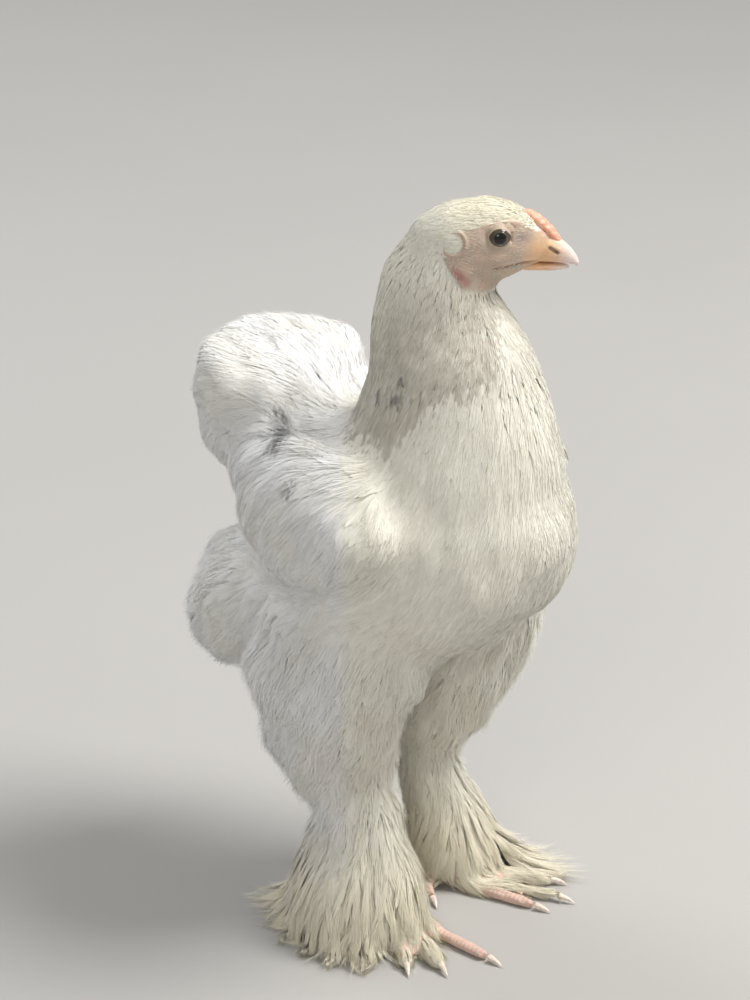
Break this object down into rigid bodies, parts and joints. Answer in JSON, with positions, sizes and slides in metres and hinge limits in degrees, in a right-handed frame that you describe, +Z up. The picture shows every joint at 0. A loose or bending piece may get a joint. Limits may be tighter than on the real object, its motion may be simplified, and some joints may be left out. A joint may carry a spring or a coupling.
{
  "type": "brahma chicken",
  "caption": "Young white brahma chicken standing still with its head turned to its left, life-size, with feathered legs and feet.",
  "frame": {"origin": "on the floor, under the middle of the box round the whole bird", "axes": "+Z is up; the body faces -Y and the bird's left side is +X; the head is turned about 40 degrees from -Y towards +X"},
  "size_m": [0.185, 0.2378, 0.4161],
  "materials": {
    "plumage": "matte",
    "loose_plumage": "matte",
    "face_skin": "matte",
    "toe_skin": "satin",
    "comb": "satin",
    "horn": "satin",
    "eye": "gloss"
  },
  "bodies": {
    "root": {"bill_lower": "horn", "bill_upper": "horn", "claw_hind_left": "horn", "claw_hind_right": "horn", "claw_inner_left": "horn", "claw_inner_right": "horn", "claw_middle_left": "horn", "claw_middle_right": "horn", "claw_outer_left": "horn", "claw_outer_right": "horn", "comb": "comb", "earlobe_left": "face_skin", "earlobe_right": "face_skin", "eye_left": "eye", "eye_right": "eye", "foot_feathers_left": "loose_plumage", "foot_feathers_right": "loose_plumage", "foot_pad_left": "toe_skin", "foot_pad_right": "toe_skin", "head": "plumage", "neck": "plumage", "rear_fluff": "loose_plumage", "shank_left": "loose_plumage", "shank_right": "loose_plumage", "tail": "loose_plumage", "thigh_left": "plumage", "thigh_right": "plumage", "toe_hind_left": "toe_skin", "toe_hind_right": "toe_skin", "toe_inner_left": "toe_skin", "toe_inner_right": "toe_skin", "toe_middle_left": "toe_skin", "toe_middle_right": "toe_skin", "toe_outer_left": "toe_skin", "toe_outer_right": "toe_skin", "trunk": "plumage", "wing_left": "loose_plumage", "wing_right": "loose_plumage"}
  },
  "joints": []
}
